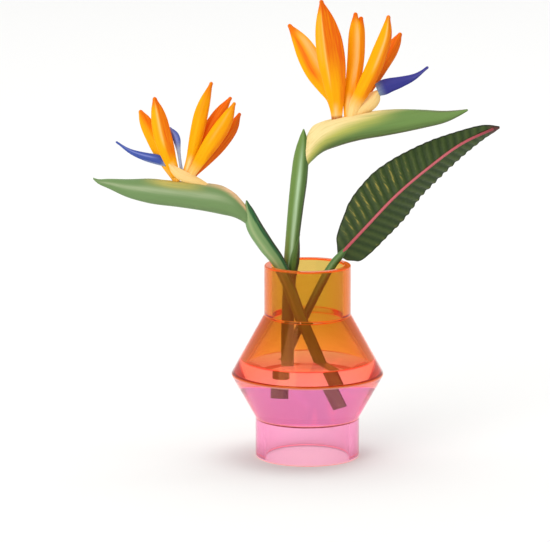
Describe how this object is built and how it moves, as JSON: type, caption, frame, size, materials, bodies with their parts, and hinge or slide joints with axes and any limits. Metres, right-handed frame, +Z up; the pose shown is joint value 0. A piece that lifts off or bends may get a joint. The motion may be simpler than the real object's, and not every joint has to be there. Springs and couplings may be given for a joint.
{
  "type": "bird of paradise flower in a vase",
  "caption": "Miniature bird of paradise flowers with beaked spathes, flame sepals and blue arrow petals, and a pleated leaf, set in the clear fill of a see-through waisted vase.",
  "frame": {"origin": "middle of the whole object's box, on the surface that the vase's foot stands on", "axes": "+Z up along the vase's axis, +X to the right towards the leaf, -Y towards the front"},
  "size_m": [0.0934, 0.0352, 0.1064],
  "materials": {
    "vase_orange": "clear, glossy, moulded, orange tint",
    "vase_pink": "clear, glossy, moulded, pink tint",
    "fill_magenta": "clear cast resin, magenta tint",
    "stem_green": "satin, painted green with lighter streaks",
    "spathe_green": "satin, green shading to cream at the slit",
    "sepal_orange": "satin, yellow-orange shading to deep orange, cream claws",
    "petal_blue": "satin, violet blue, paler at the root",
    "leaf_green": "satin, dark green with a pink midrib"
  },
  "bodies": {
    "root": {"vase_upper": "vase_orange", "vase_lower": "vase_pink", "fill": "fill_magenta", "right_stem": "stem_green", "right_spathe": "spathe_green", "right_floret_1": "sepal_orange", "right_floret_2": "sepal_orange", "right_arrow_petal": "petal_blue", "left_stem": "stem_green", "left_spathe": "spathe_green", "left_floret_1": "sepal_orange", "left_floret_2": "sepal_orange", "left_arrow_petal": "petal_blue", "left_small_petal": "petal_blue", "leaf": "leaf_green"}
  },
  "joints": []
}
